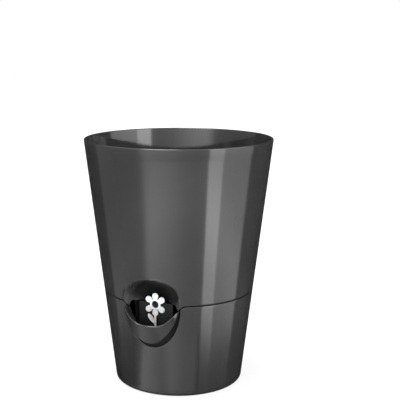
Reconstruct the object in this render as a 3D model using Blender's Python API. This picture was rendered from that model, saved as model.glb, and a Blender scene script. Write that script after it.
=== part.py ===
"""Self-watering pot: a tapered two-part shell, a filling pocket with a daisy water gauge, and the wick tray.

The pot stands on z = 0 with its axis on Z. The pocket and the niche face -Y.
"""
import math

import bmesh
import bpy

MM = 0.001

# Outer shell
POT_HEIGHT = 170 * MM
RIM_RADIUS = 65 * MM
BASE_RADIUS = 44.3 * MM
SPLIT_HEIGHT = 65 * MM
SHELL_WALL = 2.0 * MM
SEAT_GAP = 0.3 * MM
FLOOR_WALL = 2.2 * MM
FOOT_RISE = 1.2 * MM
FOOT_RING = 5 * MM
BASE_CORNER = 2.4 * MM
INNER_CORNER = 3 * MM
RIM_ROUND = 0.8 * MM

# Skirt of the planter, which plugs into the reservoir
SKIRT_DEPTH = 7.5 * MM
SKIRT_WALL = 1.6 * MM
SKIRT_CHAMFER = 3.5 * MM

# Egg-shaped outline that the niche and the pocket share
EGG_HALF_WIDTH = 19.5 * MM
NICHE_HEIGHT = 17.6 * MM
NICHE_CLEARANCE = 2.6 * MM
NICHE_FLARE = 0.7
NICHE_RINGS = 9
NICHE_CORE = 0.06
POCKET_DROP = 29.5 * MM
GROOVE_DEPTH = 1.9 * MM
GROOVE_WALL = 1.5 * MM
GROOVE_BOTTOM_WIDTH = 2.7 * MM
GROOVE_TOP_WIDTH = 0.6 * MM
FACE_SQUARENESS = 1.6
POCKET_PROUD_LOW = 3 * MM
POCKET_PROUD_LIP = 7 * MM
POCKET_WALL = 1.6 * MM
LIP_DROP = 12 * MM
LIP_HALF_WIDTH = 21.5 * MM
LIP_EASE = 2.4

# Ribs inside the planter that carry the tray
RIB_COUNT = 6
RIB_WIDTH = 2 * MM
RIB_REACH = 4.5 * MM
RIB_RISE = 14 * MM

# Wick tray
TRAY_PLATE = 2.2 * MM
TRAY_RIM_HEIGHT = 8.7 * MM
TRAY_WALL = 1.6 * MM
TRAY_SIDE_GAP = 0.8 * MM
TRAY_BEAM_DEPTH = 4 * MM
TRAY_BEAM_LENGTH = 60 * MM
DRAIN_RADIUS = 2.5 * MM
DRAIN_INNER_RING = 14 * MM
DRAIN_INNER_COUNT = 6
DRAIN_OUTER_RING = 24 * MM
DRAIN_OUTER_COUNT = 10

# Felt
MAT_RADIUS = 42 * MM
MAT_THICK = 3 * MM
WICK_OFFSET = 31 * MM
WICK_WIDTH = 14 * MM
WICK_THICK = 1.8 * MM
WICK_TAB = 18 * MM
WICK_FOOT_GAP = 5 * MM
WICK_SLOT_GAP = 0.8 * MM

# Float guide
GUIDE_HALF_WIDTH = 12.2 * MM
GUIDE_SETBACK = 9.9 * MM
GUIDE_DEPTH = 20 * MM
GUIDE_WALL = 1.5 * MM
GUIDE_HEAD_GAP = 0.5 * MM
GUIDE_SLOT = 2.6 * MM
GUIDE_THROAT_HEIGHT = 21 * MM
GUIDE_LEG_SETBACK = 6.5 * MM
GUIDE_WINDOW_HEIGHT = 9 * MM
GUIDE_FOOT_LENGTH = 9 * MM
GUIDE_FOOT_WIDTH = 9 * MM
GUIDE_FOOT_THICK = 2 * MM
POST_RADIUS = 2 * MM
POST_HEIGHT = 5 * MM

# Float, its clip and the daisy
FLOAT_HALF_WIDTH = 8.6 * MM
FLOAT_DEPTH = 14 * MM
FLOAT_HEIGHT = 14 * MM
FLOAT_EASE = 1 * MM
ARM_DROP = 18.7 * MM
ARM_HEIGHT = 2.3 * MM
ARM_WIDTH = 1.6 * MM
CLIP_SHEET = 1.4 * MM
CLIP_DROP = 13 * MM
CLIP_SPINE_WIDTH = 6 * MM
CLIP_LEG_WIDTH = 4 * MM
CLIP_HOOK = 1.2 * MM
FLOWER_DROP = 1.6 * MM
FLOWER_THICK = 1.4 * MM
FLOWER_BACK_GAP = 0.5 * MM
PETAL_COUNT = 6
PETAL_REACH = 7.9 * MM
PETAL_HALF_WIDTH = 2.4 * MM
PETAL_INNER = 1.9 * MM
PETAL_NECK = 0.66
PETAL_CROWDING = math.radians(6.5)
FLOWER_HUB_RADIUS = 3.7 * MM
FLOWER_EYE_RADIUS = 2.2 * MM
STEM_WIDTH = 1.6 * MM
STEM_FOOT_WIDTH = 3.2 * MM
LEAF_LENGTH = 8.4 * MM
LEAF_WIDTH = 3 * MM
LEAF_ANGLE = math.radians(38)
LEAF_ROOT_DROP = 15.2 * MM
LEAF_ROOT_SHARE = 0.75
LEAF_SWELL = 0.35

# Facets
TURN_STEPS = 96
EGG_STEPS = 29
ROUND_STEPS = 5
PETAL_STEPS = 20
EYE_STEPS = 24
PEG_STEPS = 16
DRAIN_STEPS = 12

# Tools run past what they cut, and tools joined in one piece are set back in turn, so no faces coincide
FAR = 20 * MM
PAST = 5 * MM
STAGGER = 0.1 * MM

# Heights that follow
SPLIT_BASE = SPLIT_HEIGHT + SEAT_GAP
RIB_TOP = SPLIT_HEIGHT + RIB_RISE
PLATE_BASE = RIB_TOP + SEAT_GAP
PLATE_TOP = PLATE_BASE + TRAY_PLATE
FLOOR_TOP = FOOT_RISE + FLOOR_WALL
ARM_TOP = SPLIT_HEIGHT - ARM_DROP
ARM_BASE = ARM_TOP - ARM_HEIGHT
CLIP_TOP = SPLIT_HEIGHT - CLIP_DROP
FLOWER_HEIGHT = SPLIT_HEIGHT - FLOWER_DROP
LEAF_ROOT_HEIGHT = SPLIT_HEIGHT - LEAF_ROOT_DROP


def outer_radius(z):
    """Radius of the tapered outside at height z."""
    return BASE_RADIUS + (RIM_RADIUS - BASE_RADIUS) * z / POT_HEIGHT


GUIDE_FRONT = outer_radius(SPLIT_HEIGHT) - GUIDE_SETBACK
FLOWER_BACK = GUIDE_FRONT + FLOWER_BACK_GAP


def cone_y(x, z, inset=0.0):
    """Y of the tapered outside, moved in by inset, at the front of the pot."""
    radius = outer_radius(z) - inset
    return -math.sqrt(max(radius * radius - x * x, 0.0))


def material(name, colour, roughness, metallic=0.0):
    """A plain Principled material."""
    made = bpy.data.materials.new(name)
    made.use_nodes = True
    shader = made.node_tree.nodes["Principled BSDF"]
    shader.inputs["Base Color"].default_value = (*colour, 1.0)
    shader.inputs["Roughness"].default_value = roughness
    shader.inputs["Metallic"].default_value = metallic
    made.diffuse_color = (*colour, 1.0)
    return made


def finish(name, bm, finish_material=None):
    """Turn a bmesh into an object with outward faces and smooth round sides."""
    bmesh.ops.remove_doubles(bm, verts=bm.verts, dist=0.00001)
    bmesh.ops.recalc_face_normals(bm, faces=bm.faces)
    mesh = bpy.data.meshes.new(name)
    bm.to_mesh(mesh)
    bm.free()
    mesh.shade_smooth()
    mesh.set_sharp_from_angle(angle=math.radians(30))
    made = bpy.data.objects.new(name, mesh)
    bpy.context.scene.collection.objects.link(made)
    if finish_material:
        mesh.materials.append(finish_material)
    return made


def tool(made):
    """Mark an object as a cutter or guide, which is no part of the pot."""
    made.hide_render = True
    made.display_type = "WIRE"
    return made


def boolean(target, other, operation):
    """Add a Boolean modifier that uses another object."""
    modifier = target.modifiers.new(other.name, "BOOLEAN")
    modifier.operation = operation
    modifier.solver = "EXACT"
    modifier.object = tool(other)
    return target


def cut(target, other):
    return boolean(target, other, "DIFFERENCE")


def join(target, other):
    return boolean(target, other, "UNION")


def common(target, other):
    return boolean(target, other, "INTERSECT")


def turned(name, profile, finish_material=None):
    """Spin a profile of (radius, height) points about Z. The profile starts and ends on the axis. Solids start a
    third of a facet from the X axis, and tools, which have no finish, two thirds, so that no edges coincide."""
    bm = bmesh.new()
    facet = math.tau / TURN_STEPS
    start = facet / 3 if finish_material else facet * 2 / 3
    verts = [bm.verts.new((radius * math.cos(start), radius * math.sin(start), z)) for radius, z in profile]
    edges = [bm.edges.new(pair) for pair in zip(verts, verts[1:])]
    bmesh.ops.spin(
        bm, geom=verts + edges, cent=(0, 0, 0), axis=(0, 0, 1),
        angle=math.tau, steps=TURN_STEPS, use_merge=True,
    )
    return finish(name, bm, finish_material)


def extruded(name, outline, start, end, place, finish_material=None):
    """Extrude an outline of (a, b) points from start to end. place maps (a, b, depth) to x, y, z."""
    bm = bmesh.new()
    verts = [bm.verts.new(place(a, b, start)) for a, b in outline]
    face = bm.faces.new(verts)
    moved = bmesh.ops.extrude_face_region(bm, geom=[face])["geom"]
    for vert in (item for item in moved if isinstance(item, bmesh.types.BMVert)):
        a, b = outline[min(range(len(outline)), key=lambda i: (verts[i].co - vert.co).length)]
        vert.co = place(a, b, end)
    return finish(name, bm, finish_material)


def along_y(a, b, depth):
    return a, depth, b


def along_z(a, b, depth):
    return a, b, depth


def forward(name, outline, back=BASE_RADIUS / 2):
    """Extrude an outline of (x, z) points through the front of the pot, from back outwards."""
    return extruded(name, outline, -RIM_RADIUS - FAR, -back, along_y)


def block(name, low, high, finish_material=None):
    """A box between two corners."""
    bm = bmesh.new()
    bmesh.ops.create_cube(bm, size=1.0)
    for vert in bm.verts:
        vert.co = [(lo + hi) / 2 + c * (hi - lo) for lo, hi, c in zip(low, high, vert.co)]
    return finish(name, bm, finish_material)


def lofted(name, rings, flat_side=False, finish_material=None):
    """Join rings of points into one closed body, with both end rings capped. With a flat side, the first and
    last points of all rings lie in one plane and bound one face."""
    bm = bmesh.new()
    loops = [[bm.verts.new(point) for point in ring] for ring in rings]
    for near, far in zip(loops, loops[1:]):
        for i in range(len(near) - flat_side):
            j = (i + 1) % len(near)
            bm.faces.new((near[i], near[j], far[j], far[i]))
    if flat_side:
        bm.faces.new([loop[0] for loop in loops] + [loop[-1] for loop in reversed(loops)])
    bm.faces.new(loops[0])
    bm.faces.new(loops[-1])
    return finish(name, bm, finish_material)


def disc_outline(x, y, radius, steps):
    """Points of a circle."""
    return [
        (x + radius * math.cos(math.tau * i / steps), y + radius * math.sin(math.tau * i / steps))
        for i in range(steps)
    ]


def corner(centre, radius, start, end):
    """Points of an arc between two angles in degrees."""
    angles = [math.radians(start + (end - start) * i / ROUND_STEPS) for i in range(ROUND_STEPS + 1)]
    return [(centre[0] + radius * math.cos(a), centre[1] + radius * math.sin(a)) for a in angles]


def cone_tool(name, inset, low, high):
    """The tapered outside, moved in by inset, as a solid between two heights."""
    side = [(outer_radius(z) - inset, z) for z in (low, high)]
    return turned(name, [(0, low), *side, (0, high)])


def egg_outline(grow, top):
    """Lower half of the egg around the pocket, with straight sides carried up to a height."""
    half_width = EGG_HALF_WIDTH + grow
    drop = POCKET_DROP + grow
    points = []
    for i in range(EGG_STEPS + 1):
        angle = math.pi * i / EGG_STEPS
        points.append((-half_width * math.cos(angle), SPLIT_HEIGHT - drop * math.sin(angle)))
    return [(-half_width, top)] + points + [(half_width, top)]


def face_outline(shrink, top):
    """Outline of the pocket's face: it meets the egg near the split and draws in towards its foot."""
    half_width = EGG_HALF_WIDTH - GROOVE_TOP_WIDTH - shrink
    drop = POCKET_DROP - GROOVE_BOTTOM_WIDTH - shrink
    power = 2 / FACE_SQUARENESS
    points = []
    for i in range(EGG_STEPS + 1):
        angle = math.pi * i / EGG_STEPS
        across = math.copysign(abs(math.cos(angle)) ** power, math.cos(angle))
        points.append((-half_width * across, SPLIT_HEIGHT - drop * abs(math.sin(angle)) ** power))
    return [(-half_width, top)] + points + [(half_width, top)]


def lip_height(x):
    """Height of the pocket's lip: low in the middle, an S-curve up to the split at each side."""
    share = min(abs(x) / LIP_HALF_WIDTH, 1.0) ** LIP_EASE
    smooth = share * share * (3 - 2 * share)
    return SPLIT_HEIGHT - LIP_DROP + (LIP_DROP + SEAT_GAP) * smooth


def mouth_outline(top):
    """Everything above the lip, up to a given height."""
    points = []
    for i in range(EGG_STEPS + 1):
        x = LIP_HALF_WIDTH * (2 * i / EGG_STEPS - 1)
        points.append((x, lip_height(x)))
    return points + [(LIP_HALF_WIDTH, top), (-LIP_HALF_WIDTH, top)]


def pocket_arc(z, inset):
    """Centre and radius of the pocket's rounded front at height z: it stands proud of the cone in the middle
    and meets it at the egg's full width."""
    low = SPLIT_HEIGHT - POCKET_DROP + GROOVE_BOTTOM_WIDTH
    lip = SPLIT_HEIGHT - LIP_DROP
    proud = POCKET_PROUD_LOW + (POCKET_PROUD_LIP - POCKET_PROUD_LOW) * (z - low) / (lip - low)
    front = outer_radius(z) + proud
    rise = front + cone_y(EGG_HALF_WIDTH, z)
    radius = (EGG_HALF_WIDTH ** 2 + rise ** 2) / (2 * rise)
    return radius - front, radius - inset


def pocket_front(name, inset):
    """A leaning frustum whose front is the pocket's face."""
    rings = []
    for z in (SPLIT_HEIGHT - POCKET_DROP - PAST, SPLIT_HEIGHT + PAST):
        centre, radius = pocket_arc(z, inset)
        rings.append([(x, y, z) for x, y in disc_outline(0, centre, radius, TURN_STEPS)])
    return lofted(name, rings)


def niche_depth():
    """Depth of the niche at the split, so that it clears the top petal by the named clearance."""
    tip = FLOWER_HEIGHT + PETAL_REACH
    share = (tip - SPLIT_HEIGHT) / NICHE_HEIGHT
    return (outer_radius(tip) - FLOWER_BACK + NICHE_CLEARANCE) / (1 - share * share)


def niche_dish(name, grow, floor):
    """The niche: a bowl sunk in the cone, over the upper half of the egg. Its top edge is crisp and its sides
    flare. grow moves it into the wall by one thickness, and floor is its flat underside."""
    half_width = EGG_HALF_WIDTH + grow
    height = SPLIT_HEIGHT + NICHE_HEIGHT + grow - floor
    rounds = [math.cos(math.pi / 2 * i / NICHE_RINGS) for i in range(NICHE_RINGS)]
    rings = []
    for share in rounds + [NICHE_CORE]:
        ring = []
        sunk = 1 - share * share
        for i in range(EGG_STEPS + 1):
            angle = math.pi * i / EGG_STEPS
            flare = NICHE_FLARE * math.cos(angle) ** 2
            depth = niche_depth() * sunk * (1 - flare * (1 - sunk)) + grow
            x = half_width * share * math.cos(angle)
            z = floor + height * share * math.sin(angle)
            ring.append((x, cone_y(x, z) + depth, z))
        rings.append(ring)
    front = [(x, -RIM_RADIUS - FAR, z) for x, y, z in rings[0]]
    return lofted(name, [front] + rings, flat_side=True)


def make_reservoir(finish_material):
    """Lower shell: foot ring, tapered wall, and the pocket folded out of its front."""
    wall = outer_radius(BASE_CORNER)
    above = SPLIT_HEIGHT + SHELL_WALL
    cavity_top = above + SHELL_WALL
    shell = turned("reservoir_shell", [
        (0, FOOT_RISE),
        (BASE_RADIUS - BASE_CORNER - FOOT_RING - FOOT_RISE, FOOT_RISE),
        (BASE_RADIUS - BASE_CORNER - FOOT_RING, 0),
        *corner((wall - BASE_CORNER, BASE_CORNER), BASE_CORNER, -90, 0),
        (outer_radius(SPLIT_HEIGHT), SPLIT_HEIGHT),
        (0, SPLIT_HEIGHT),
    ], finish_material)
    recess = forward("recess_tool", egg_outline(0.0, above + SEAT_GAP))
    cut(recess, cone_tool("recess_floor_tool", GROOVE_DEPTH, 0, POT_HEIGHT / 2))
    cut(shell, recess)
    face = forward("pocket_tool", face_outline(0.0, above))
    common(face, pocket_front("pocket_front_tool", 0.0))
    join(shell, face)

    inner_wall = outer_radius(FLOOR_TOP + INNER_CORNER) - SHELL_WALL
    cavity = turned("reservoir_cavity_tool", [
        (0, FLOOR_TOP),
        *corner((inner_wall - INNER_CORNER, FLOOR_TOP + INNER_CORNER), INNER_CORNER, -90, 0),
        (outer_radius(cavity_top) - SHELL_WALL, cavity_top),
        (0, cavity_top),
    ])
    fold = forward("fold_tool", egg_outline(GROOVE_WALL, cavity_top + SHELL_WALL))
    cut(fold, cone_tool("fold_floor_tool", GROOVE_DEPTH + GROOVE_WALL, 0, POT_HEIGHT / 2))
    cut(cavity, fold)
    hollow = forward("pocket_hollow_tool", face_outline(POCKET_WALL, cavity_top + SEAT_GAP), BASE_RADIUS / 3)
    common(hollow, pocket_front("pocket_hollow_front_tool", POCKET_WALL))
    join(cavity, hollow)
    cut(shell, cavity)
    cut(shell, forward("mouth_tool", mouth_outline(SPLIT_HEIGHT + FAR)))
    root = FLOOR_TOP - FLOOR_WALL / 2
    for side in (-1, 1):
        post = disc_outline(*guide_post(side), POST_RADIUS, PEG_STEPS)
        join(shell, extruded(f"post_tool_{side}", post, root, FLOOR_TOP + POST_HEIGHT, along_z))
    return shell


def make_planter(finish_material):
    """Upper shell: skirt, shoulder on the reservoir's rim, niche, rounded rim and the ribs for the tray."""
    skirt_low = SPLIT_BASE - SKIRT_DEPTH
    plug = SHELL_WALL + SEAT_GAP
    rim_centre = (outer_radius(POT_HEIGHT) - RIM_ROUND, POT_HEIGHT - RIM_ROUND)
    shell = turned("planter_shell", [
        (0, skirt_low),
        (outer_radius(skirt_low) - plug, skirt_low),
        (outer_radius(SPLIT_BASE) - plug, SPLIT_BASE),
        (outer_radius(SPLIT_BASE), SPLIT_BASE),
        *corner(rim_centre, RIM_ROUND, 0, 90),
        (0, POT_HEIGHT),
    ], finish_material)
    cut(shell, niche_dish("niche_tool", 0.0, SPLIT_HEIGHT - SEAT_GAP))

    shoulder = SPLIT_BASE + SKIRT_WALL
    neck = plug + SKIRT_WALL
    cavity = turned("planter_cavity_tool", [
        (0, skirt_low - FAR),
        (outer_radius(skirt_low) - neck, skirt_low - FAR),
        (outer_radius(skirt_low) - neck, skirt_low),
        (outer_radius(shoulder) - neck, shoulder),
        (outer_radius(shoulder + SKIRT_CHAMFER) - SHELL_WALL, shoulder + SKIRT_CHAMFER),
        (outer_radius(POT_HEIGHT) - SHELL_WALL, POT_HEIGHT - RIM_ROUND),
        (outer_radius(POT_HEIGHT) - SHELL_WALL + RIM_ROUND / 2, POT_HEIGHT + RIM_ROUND),
        (0, POT_HEIGHT + RIM_ROUND),
    ])
    cut(cavity, niche_dish("niche_wall_tool", SHELL_WALL, SPLIT_BASE))
    cut(shell, cavity)
    cut(shell, forward("skirt_mouth_tool", egg_outline(GROOVE_WALL + SEAT_GAP, SPLIT_BASE + STAGGER)))
    tip = outer_radius(SPLIT_BASE) - plug - RIB_REACH
    side = RIB_WIDTH / 2
    ends = []
    for z in (shoulder - SKIRT_WALL / 2, RIB_TOP):
        root = outer_radius(z) - SHELL_WALL / 2
        ends.append([(tip, -side, z), (root, -side, z), (root, side, z), (tip, side, z)])
    for i in range(RIB_COUNT):
        rib = lofted(f"rib_tool_{i}", ends)
        rib.rotation_euler = (0, 0, math.tau * i / RIB_COUNT)
        join(shell, rib)
    return shell


def make_tray(finish_material):
    """Perforated tray on the ribs, with a raised rim that steps round the niche."""
    side = SHELL_WALL + TRAY_SIDE_GAP
    top = PLATE_BASE + TRAY_RIM_HEIGHT
    tray = turned("plant_stand", [
        (0, PLATE_BASE),
        (outer_radius(PLATE_BASE) - side, PLATE_BASE),
        (outer_radius(top) - side, top),
        (0, top),
    ], finish_material)
    cut(tray, niche_dish("tray_notch_tool", side, SPLIT_BASE))
    well = turned("tray_well_tool", [
        (0, PLATE_TOP),
        (outer_radius(PLATE_TOP) - side - TRAY_WALL, PLATE_TOP),
        (outer_radius(top + FAR) - side - TRAY_WALL, top + FAR),
        (0, top + FAR),
    ])
    cut(well, niche_dish("tray_notch_wall_tool", side + TRAY_WALL, SPLIT_BASE))
    cut(tray, well)
    for i, turn in enumerate((45, 135)):
        beam = block(
            f"beam_tool_{i}",
            (-TRAY_BEAM_LENGTH / 2, -TRAY_WALL / 2, PLATE_BASE - TRAY_BEAM_DEPTH),
            (TRAY_BEAM_LENGTH / 2, TRAY_WALL / 2, PLATE_BASE + TRAY_PLATE / 2),
        )
        beam.rotation_euler = (0, 0, math.radians(turn))
        join(tray, beam)
    for radius, count in ((DRAIN_INNER_RING, DRAIN_INNER_COUNT), (DRAIN_OUTER_RING, DRAIN_OUTER_COUNT)):
        for i in range(count):
            angle = math.tau * i / count
            x, y = radius * math.cos(angle), radius * math.sin(angle)
            hole = disc_outline(x, y, DRAIN_RADIUS, DRAIN_STEPS)
            cut(tray, extruded(f"drain_tool_{i}", hole, PLATE_BASE - FAR, PLATE_TOP + PAST, along_z))
    for side_sign in (-1, 1):
        cut(tray, wick_slot("tray_slot_tool", side_sign, PLATE_BASE - PAST, PLATE_TOP + PAST))
    return tray


def wick_slot(name, side, low, high):
    """Cutter for the slot that a wick hangs through."""
    half_length = WICK_WIDTH / 2 + WICK_SLOT_GAP
    half_width = WICK_THICK / 2 + WICK_SLOT_GAP
    x = side * WICK_OFFSET
    return block(name, (x - half_width, -half_length, low), (x + half_width, half_length, high))


def make_mat(finish_material):
    """Felt disc on the tray, with a slot for each wick."""
    low = PLATE_TOP + SEAT_GAP
    high = low + MAT_THICK
    mat = turned("wick_mat", [(0, low), (MAT_RADIUS, low), (MAT_RADIUS, high), (0, high)], finish_material)
    for side in (-1, 1):
        cut(mat, wick_slot("mat_slot_tool", side, low - PAST, high + PAST))
    return mat


def make_wick(name, side, finish_material):
    """Felt strip: a tab on the mat, and a tail down into the water."""
    tab_low = PLATE_TOP + MAT_THICK + 2 * SEAT_GAP
    tab_high = tab_low + WICK_THICK
    outer = WICK_OFFSET + WICK_THICK / 2
    inner = WICK_OFFSET - WICK_THICK / 2
    outline = [
        (side * outer, FLOOR_TOP + WICK_FOOT_GAP),
        (side * outer, tab_high - WICK_THICK / 2),
        (side * (outer - WICK_THICK / 2), tab_high),
        (side * (outer - WICK_TAB), tab_high),
        (side * (outer - WICK_TAB), tab_low),
        (side * inner, tab_low),
        (side * inner, FLOOR_TOP + WICK_FOOT_GAP),
    ]
    return extruded(name, outline, -WICK_WIDTH / 2, WICK_WIDTH / 2, along_y, finish_material)


def guide_post(side):
    """Place of a locating post on the reservoir's floor."""
    x = GUIDE_HALF_WIDTH + GUIDE_FOOT_LENGTH / 2
    y = -GUIDE_FRONT + GUIDE_DEPTH - GUIDE_FOOT_WIDTH / 2
    return side * x, y


def make_guide(finish_material):
    """Float housing: closed above, open below, with a slot for the arm and two feet on the floor posts."""
    front = -GUIDE_FRONT
    back = front + GUIDE_DEPTH
    low = FLOOR_TOP + SEAT_GAP
    high = SPLIT_HEIGHT - GUIDE_HEAD_GAP
    side = GUIDE_HALF_WIDTH
    guide = block("float_guide", (-side, front, low), (side, back, high), finish_material)
    for sign in (-1, 1):
        x, y = guide_post(sign)
        inner = sign * (side - GUIDE_WALL / 2)
        outer = sign * (side + GUIDE_FOOT_LENGTH)
        foot = block(
            f"foot_tool_{sign}",
            (min(inner, outer), y - GUIDE_FOOT_WIDTH / 2, low),
            (max(inner, outer), y + GUIDE_FOOT_WIDTH / 2 - GUIDE_WALL / 2, low + GUIDE_FOOT_THICK),
        )
        hole = disc_outline(x, y, POST_RADIUS + SEAT_GAP, PEG_STEPS)
        cut(foot, extruded(f"foot_hole_tool_{sign}", hole, low - PAST, low + PAST, along_z))
        join(guide, foot)
    half = side - GUIDE_WALL
    slot = GUIDE_SLOT / 2
    window = half - 2 * GUIDE_WALL
    under = low - PAST
    setback = front + GUIDE_LEG_SETBACK
    ceiling = high - GUIDE_WALL
    slot_top = ARM_TOP + SEAT_GAP
    cut(guide, block("guide_bore_tool", (-half, front + GUIDE_WALL, under), (half, back - GUIDE_WALL, ceiling)))
    cut(guide, block("guide_throat_tool", (-FAR, front - FAR, under), (FAR, setback, GUIDE_THROAT_HEIGHT)))
    cut(guide, block("guide_slot_tool", (-slot, front - FAR, low), (slot, front + 2 * GUIDE_WALL, slot_top)))
    cut(guide, block(
        "guide_window_tool",
        (-window, back - 2 * GUIDE_WALL, under),
        (window, back + FAR, low + GUIDE_WINDOW_HEIGHT),
    ))
    return guide


def float_box():
    """Corners of the foam block at the full-water place."""
    front = -GUIDE_FRONT + GUIDE_WALL + 2 * SEAT_GAP + CLIP_SHEET + SEAT_GAP
    high = CLIP_TOP - CLIP_SHEET - SEAT_GAP
    return (-FLOAT_HALF_WIDTH, front, high - FLOAT_HEIGHT), (FLOAT_HALF_WIDTH, front + FLOAT_DEPTH, high)


def make_float(finish_material):
    """Foam block with eased edges."""
    low, high = float_box()
    made = block("float_block", low, high, finish_material)
    bevel = made.modifiers.new("eased edges", "BEVEL")
    bevel.width = FLOAT_EASE
    bevel.segments = 2
    bevel.limit_method = "ANGLE"
    return made


def make_clip(finish_material):
    """Clip over the float: top sheet, two hooked legs, a spine and the arm through the guide's slot."""
    low, high = float_box()
    reach_x = FLOAT_HALF_WIDTH + SEAT_GAP + CLIP_SHEET
    front = low[1] - SEAT_GAP - CLIP_SHEET
    middle = (low[1] + high[1]) / 2
    sheet_low = CLIP_TOP - CLIP_SHEET
    half = CLIP_LEG_WIDTH / 2
    spine = CLIP_SPINE_WIDTH / 2
    arm = ARM_WIDTH / 2
    arm_front = -FLOWER_BACK + SEAT_GAP
    clip = block(
        "float_clip", (-reach_x, middle - half, sheet_low), (reach_x, middle + half, CLIP_TOP), finish_material,
    )
    bar_low = sheet_low + STAGGER
    join(clip, block("clip_bar_tool", (-spine, front, bar_low), (spine, middle, CLIP_TOP - STAGGER)))
    spine -= STAGGER
    spine_back = low[1] - SEAT_GAP
    join(clip, block("clip_spine_tool", (-spine, front, ARM_BASE), (spine, spine_back, CLIP_TOP - 2 * STAGGER)))
    arm_back = front + CLIP_SHEET / 2
    join(clip, block("clip_arm_tool", (-arm, arm_front, ARM_BASE + STAGGER), (arm, arm_back, ARM_TOP)))
    half -= STAGGER
    foot = low[2] - SEAT_GAP
    for side in (-1, 1):
        near = side * (reach_x - CLIP_SHEET)
        far = side * reach_x
        hook = side * (FLOAT_HALF_WIDTH - CLIP_HOOK)
        join(clip, block(
            f"clip_leg_tool_{side}",
            (min(near, far), middle - half, foot - CLIP_SHEET / 2),
            (max(near, far), middle + half, CLIP_TOP - 2 * STAGGER),
        ))
        join(clip, block(
            f"clip_hook_tool_{side}",
            (min(hook, far), middle - half, foot - CLIP_SHEET),
            (max(hook, far), middle + half, foot),
        ))
    return clip


def petal_outline(number):
    """A petal: narrow at the hub, round and full at its tip. The side petals crowd towards the upright."""
    even = math.tau * number / PETAL_COUNT
    angle = even - PETAL_CROWDING * math.sin(2 * even)
    points = []
    for i in range(PETAL_STEPS):
        turn = math.tau * i / PETAL_STEPS
        middle = (PETAL_REACH + PETAL_INNER) / 2
        along = middle + (PETAL_REACH - PETAL_INNER) / 2 * math.cos(turn)
        full = PETAL_NECK + (1 - PETAL_NECK) * (along - PETAL_INNER) / (PETAL_REACH - PETAL_INNER)
        across = PETAL_HALF_WIDTH * full * math.sin(turn)
        x = along * math.sin(angle) + across * math.cos(angle)
        z = FLOWER_HEIGHT + along * math.cos(angle) - across * math.sin(angle)
        points.append((x, z))
    return points


def leaf_outline():
    """A pointed oval that springs from the stem, up and to the viewer's left."""
    points = []
    for i in range(PETAL_STEPS):
        turn = math.tau * i / PETAL_STEPS
        along = LEAF_LENGTH / 2 * (1 - math.cos(turn))
        across = LEAF_WIDTH / 2 * math.sin(turn) * (LEAF_ROOT_SHARE + LEAF_SWELL * along / LEAF_LENGTH)
        x = -along * math.sin(LEAF_ANGLE) + across * math.cos(LEAF_ANGLE)
        z = LEAF_ROOT_HEIGHT + along * math.cos(LEAF_ANGLE) + across * math.sin(LEAF_ANGLE)
        points.append((x, z))
    return points


def make_flower(finish_material):
    """The daisy gauge: hub ring, petals, stem with a foot at the arm, and one leaf."""
    back = -FLOWER_BACK
    front = back - FLOWER_THICK
    hub = disc_outline(0, FLOWER_HEIGHT, FLOWER_HUB_RADIUS, EYE_STEPS)
    flower = extruded("level_flower", hub, front, back, along_y, finish_material)
    front += STAGGER
    for i in range(PETAL_COUNT):
        join(flower, extruded(f"petal_tool_{i}", petal_outline(i), front, back - STAGGER, along_y))
    front += STAGGER
    stem = STEM_WIDTH / 2
    stem_high = FLOWER_HEIGHT - FLOWER_HUB_RADIUS + stem
    join(flower, block("stem_tool", (-stem, front, ARM_BASE + stem), (stem, back - 2 * STAGGER, stem_high)))
    front += STAGGER
    foot = STEM_FOOT_WIDTH / 2
    join(flower, block("stem_foot_tool", (-foot, front, ARM_BASE), (foot, back, ARM_TOP + stem)))
    front += STAGGER
    join(flower, extruded("leaf_tool", leaf_outline(), front, back - 3 * STAGGER, along_y))
    eye = disc_outline(0, FLOWER_HEIGHT, FLOWER_EYE_RADIUS, EYE_STEPS)
    cut(flower, extruded("eye_tool", eye, front - PAST, back + PAST, along_y))
    return flower


def main():
    for old in list(bpy.data.objects):
        bpy.data.objects.remove(old)
    gloss = material("anthracite_gloss_plastic", (0.045, 0.045, 0.044), 0.18)
    matt = material("black_matt_plastic", (0.020, 0.020, 0.019), 0.6)
    tray = material("grey_moulded_plastic", (0.06, 0.06, 0.06), 0.5)
    white = material("white_plastic", (0.85, 0.85, 0.84), 0.35)
    foam = material("white_foam", (0.8, 0.8, 0.78), 0.8)
    felt = material("grey_felt", (0.35, 0.34, 0.32), 0.95)

    make_reservoir(gloss)
    make_planter(gloss)
    make_tray(tray)
    make_mat(felt)
    make_wick("wick_left", -1, felt)
    make_wick("wick_right", 1, felt)
    make_guide(matt)
    make_float(foam)
    make_clip(tray)
    make_flower(white)


main()
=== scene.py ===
"""Looks of the self-watering pot: gloss shells, white daisy, felt wicks, and the studio round them."""
import math
from collections import Counter

import bmesh
import bpy
import numpy as np
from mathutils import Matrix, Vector
from mathutils.geometry import delaunay_2d_cdt


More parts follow.
